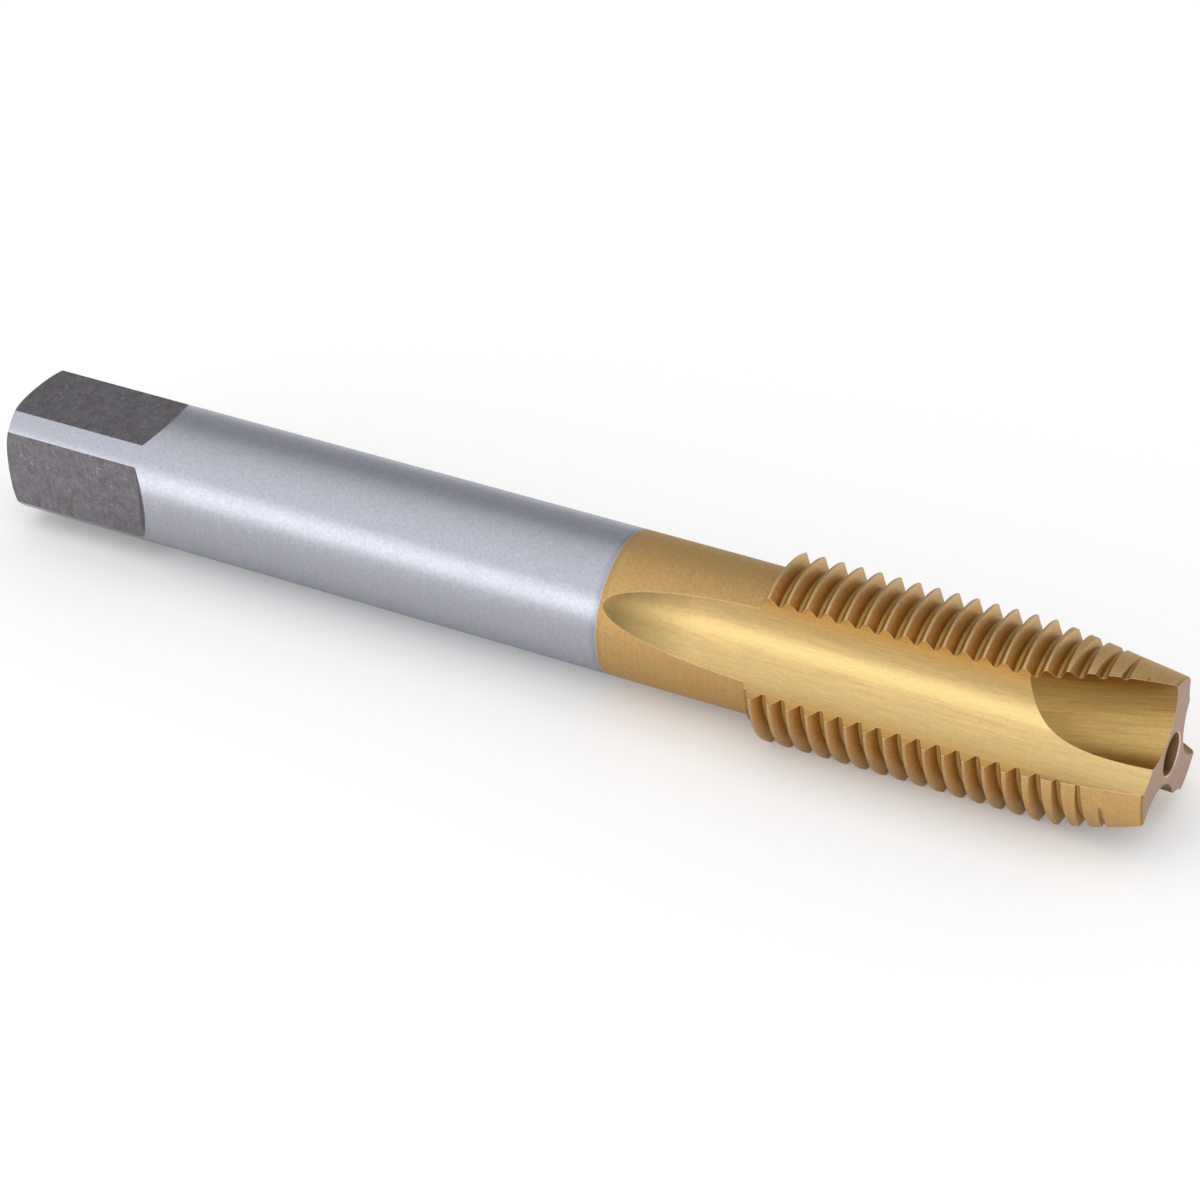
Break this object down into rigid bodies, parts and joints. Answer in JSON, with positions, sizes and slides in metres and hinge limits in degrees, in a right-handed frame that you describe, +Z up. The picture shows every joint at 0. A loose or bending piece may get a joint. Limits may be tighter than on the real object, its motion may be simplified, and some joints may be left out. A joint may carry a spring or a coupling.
{
  "type": "thread tap",
  "caption": "Spiral-point machine tap with a round shank, a driving square, straight flutes and a gold-coated cutting thread with a tapered lead.",
  "frame": {"origin": "centre of the bounding box's underside, on the surface that the tap lies on", "axes": "+X along the tool's axis towards the cutting tip, +Z up, +Y to the left when looking towards the tip"},
  "size_m": [0.095, 0.014, 0.0129],
  "materials": {
    "tap": "ground steel, with a satin titanium-nitride coating on the cutting half"
  },
  "bodies": {
    "root": {"tap": "tap"}
  },
  "joints": []
}
